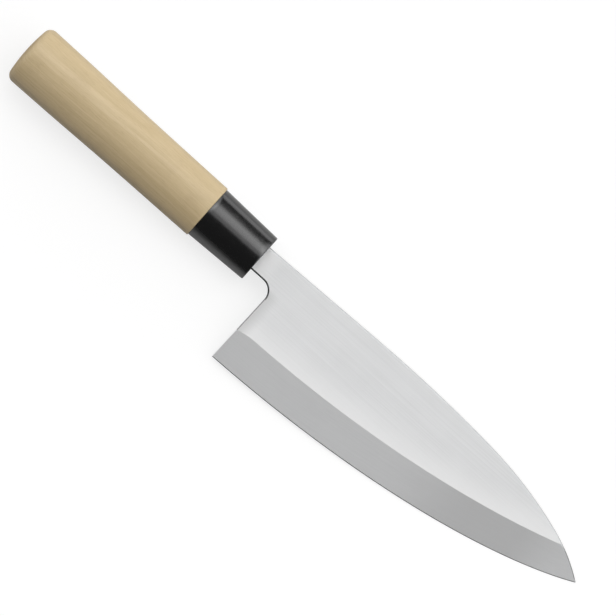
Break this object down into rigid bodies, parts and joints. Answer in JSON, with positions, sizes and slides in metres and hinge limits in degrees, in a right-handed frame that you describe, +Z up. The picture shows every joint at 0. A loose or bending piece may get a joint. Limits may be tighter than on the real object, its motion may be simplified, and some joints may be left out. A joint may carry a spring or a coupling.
{
  "type": "kitchen knife",
  "caption": "Deba knife: thick single-bevel blade with a hollow-ground back, black oval ferrule and oval wooden handle, lying flat.",
  "frame": {"origin": "centre of the outline seen from above, on the table that the knife lies on", "axes": "+X towards the tip, +Y towards the spine, +Z up, out of the bevelled face. The knife lies as it rests, on the belly of its edge and the rim where the wood begins: rolled about 5 degrees towards the edge and about 2 degrees nose-down, so the mounts' axes are tilted by the same angles."},
  "size_m": [0.324, 0.0578, 0.0247],
  "materials": {
    "steel": "fine satin, ground lengthwise",
    "ferrule": "glossy black resin",
    "wood": "pale close-grained wood, unvarnished",
    "resin": "cured filler"
  },
  "bodies": {
    "root": {"blade": "steel", "ferrule": "ferrule", "handle": "wood", "tang_bedding": "resin"}
  },
  "joints": []
}
